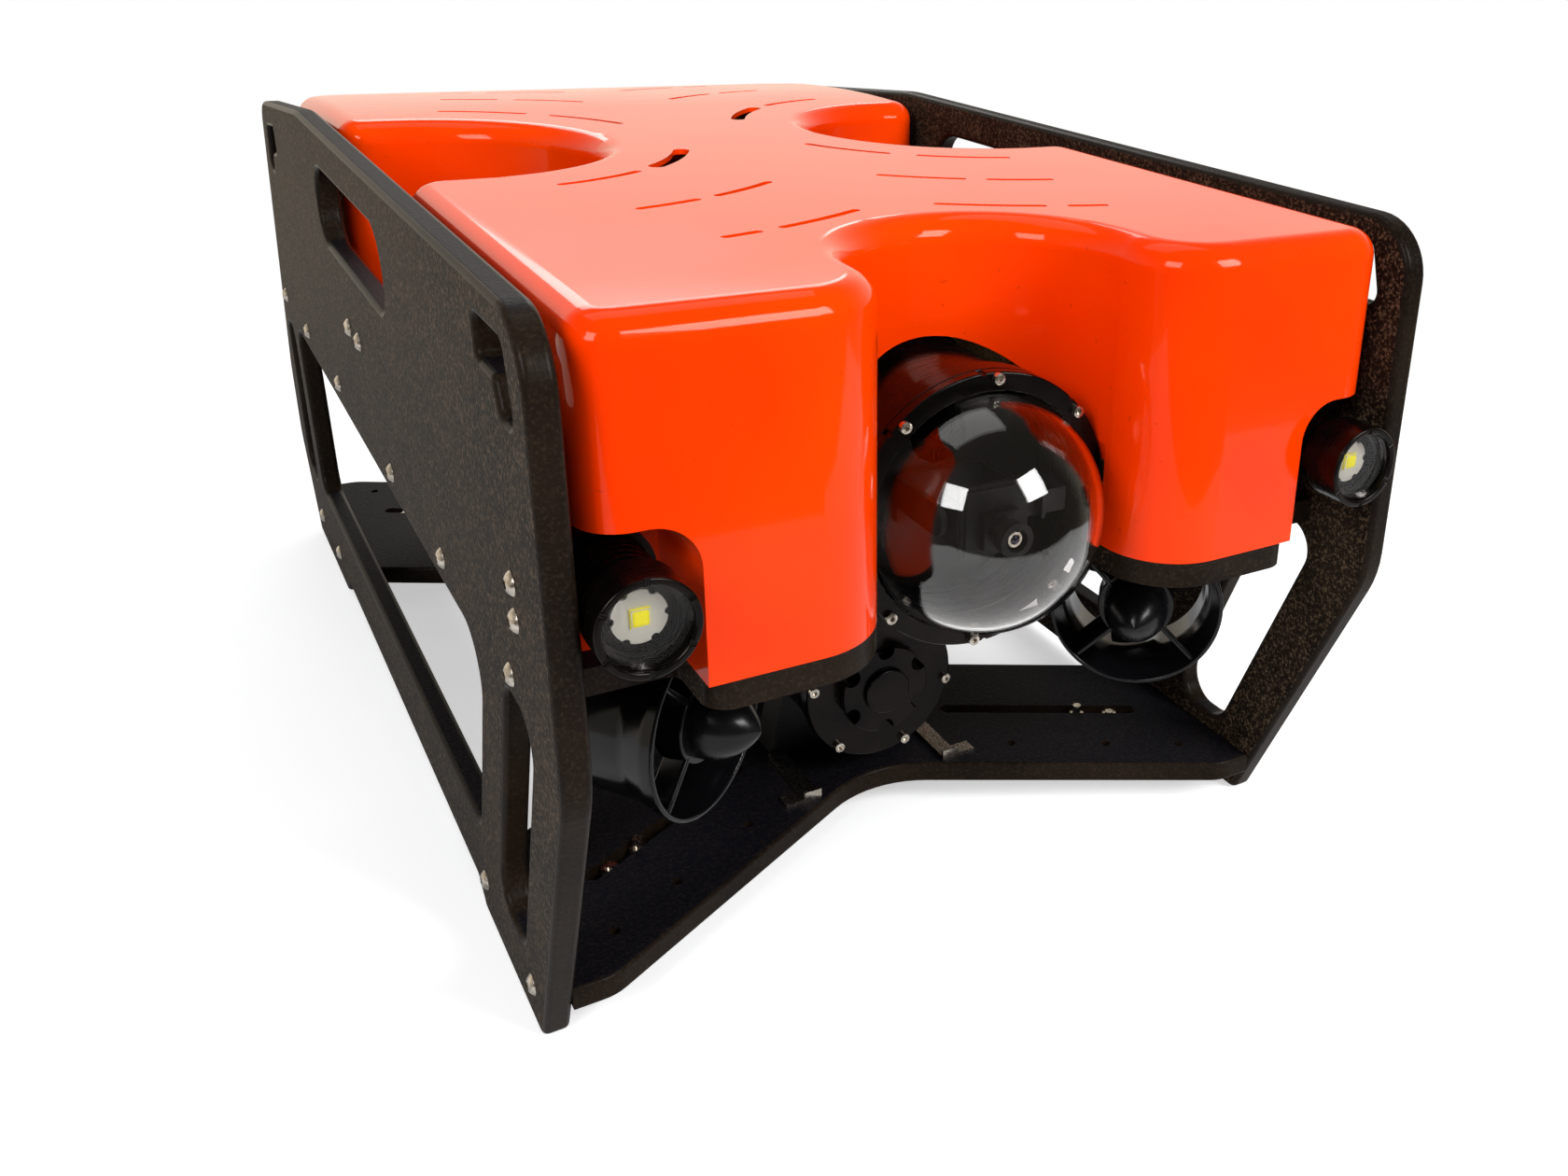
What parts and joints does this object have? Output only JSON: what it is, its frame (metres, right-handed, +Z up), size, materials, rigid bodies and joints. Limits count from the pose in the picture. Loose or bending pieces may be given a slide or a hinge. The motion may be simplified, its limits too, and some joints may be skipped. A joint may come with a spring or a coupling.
{
  "type": "underwater inspection rov",
  "caption": "Open-frame underwater inspection vehicle with a lobed buoyancy hood, domed tilting camera, vectored ducted thrusters, lamps and payload plate.",
  "frame": {"origin": "on the floor under the middle of the whole vehicle's box", "axes": "+Z up, the camera dome looks along -Y, port side is +X"},
  "size_m": [0.436, 0.79, 0.364],
  "materials": {
    "frame_sheet": "machined black polyethylene sheet, orange-peel faces, smooth routed edges",
    "hood_moulding": "vacuum-formed orange-red thermoplastic, satin gloss",
    "stainless": "turned stainless steel",
    "galvanised": "zinc-plated steel bar",
    "anodised_black": "black hard-anodised aluminium",
    "gland_red": "red anodised aluminium",
    "clear_acrylic": "polished clear acrylic",
    "seal_rubber": "nitrile rubber",
    "tray_plate": "routed black composite sheet",
    "circuit_board": "solder-masked fibreglass",
    "moulded_black": "moulded black nylon",
    "printed_black": "sintered black nylon",
    "servo_case": "moulded plastic case",
    "camera_board": "black circuit board with lens barrel",
    "foam_block": "cut closed-cell buoyancy foam",
    "cell_wrap": "shrink-wrapped cells",
    "lamp_board": "white-masked aluminium board with yellow emitter",
    "thruster_black": "injection-moulded black polycarbonate",
    "motor_can": "moulded black pod with satin face",
    "propeller_plastic": "injection-moulded black polycarbonate"
  },
  "bodies": {
    "vehicle": {"ballast_bars": "galvanised", "ballast_bolts": "stainless", "battery_clips": "stainless", "battery_front_cap": "anodised_black", "battery_pack": "cell_wrap", "battery_plug": "anodised_black", "battery_rear_cap": "anodised_black", "battery_saddles": "moulded_black", "battery_tube": "anodised_black", "bottom_panel": "frame_sheet", "buoyancy_foam": "foam_block", "camera_bracket": "printed_black", "cap_screws": "stainless", "centre_panel": "frame_sheet", "control_boards": "circuit_board", "deck_screws": "stainless", "dome": "clear_acrylic", "dome_ring": "anodised_black", "dome_screws": "stainless", "electronics_tray": "tray_plate", "electronics_tube": "anodised_black", "front_flange": "anodised_black", "hood": "hood_moulding", "lamp_boards": "lamp_board", "lamp_body_port": "anodised_black", "lamp_body_starboard": "anodised_black", "lamp_brackets": "moulded_black", "lamp_guard_port": "anodised_black", "lamp_guard_starboard": "anodised_black", "lamp_lenses": "clear_acrylic", "motor_controllers": "circuit_board", "penetrators": "gland_red", "rear_end_cap": "anodised_black", "side_panel_port": "frame_sheet", "side_panel_starboard": "frame_sheet", "side_screws": "stainless", "thruster_brackets": "moulded_black", "thruster_front_port_duct": "thruster_black", "thruster_front_port_motor": "motor_can", "thruster_front_starboard_duct": "thruster_black", "thruster_front_starboard_motor": "motor_can", "thruster_lift_port_duct": "thruster_black", "thruster_lift_port_motor": "motor_can", "thruster_lift_starboard_duct": "thruster_black", "thruster_lift_starboard_motor": "motor_can", "thruster_rear_port_duct": "thruster_black", "thruster_rear_port_motor": "motor_can", "thruster_rear_starboard_duct": "thruster_black", "thruster_rear_starboard_motor": "motor_can", "tilt_servo": "servo_case", "tube_saddles": "moulded_black", "tube_seals": "seal_rubber"},
    "camera_tilt": {"camera_cradle": "printed_black", "camera": "camera_board"},
    "front_port_propeller": {"thruster_front_port_propeller": "propeller_plastic"},
    "front_starboard_propeller": {"thruster_front_starboard_propeller": "propeller_plastic"},
    "rear_port_propeller": {"thruster_rear_port_propeller": "propeller_plastic"},
    "rear_starboard_propeller": {"thruster_rear_starboard_propeller": "propeller_plastic"},
    "lift_port_propeller": {"thruster_lift_port_propeller": "propeller_plastic"},
    "lift_starboard_propeller": {"thruster_lift_starboard_propeller": "propeller_plastic"}
  },
  "joints": [
    {"name": "camera_tilt", "type": "hinge", "parent": "vehicle", "child": "camera_tilt", "pos_m": [0, -0.327, 0.234], "axis": [1, 0, 0], "range_deg": [-45, 45]},
    {"name": "front_port_spin", "type": "hinge", "parent": "vehicle", "child": "front_port_propeller", "pos_m": [0.14309, -0.26987, 0.1385], "axis": [-0.6157, -0.788, 0], "continuous": true},
    {"name": "front_starboard_spin", "type": "hinge", "parent": "vehicle", "child": "front_starboard_propeller", "pos_m": [-0.14309, -0.26987, 0.1385], "axis": [0.6157, -0.788, 0], "continuous": true},
    {"name": "rear_port_spin", "type": "hinge", "parent": "vehicle", "child": "rear_port_propeller", "pos_m": [0.14309, 0.26987, 0.1385], "axis": [-0.6157, 0.788, 0], "continuous": true},
    {"name": "rear_starboard_spin", "type": "hinge", "parent": "vehicle", "child": "rear_starboard_propeller", "pos_m": [-0.14309, 0.26987, 0.1385], "axis": [0.6157, 0.788, 0], "continuous": true},
    {"name": "lift_port_spin", "type": "hinge", "parent": "vehicle", "child": "lift_port_propeller", "pos_m": [0.1375, 0, 0.236], "axis": [0, 0, 1], "continuous": true},
    {"name": "lift_starboard_spin", "type": "hinge", "parent": "vehicle", "child": "lift_starboard_propeller", "pos_m": [-0.1375, 0, 0.236], "axis": [0, 0, 1], "continuous": true}
  ]
}
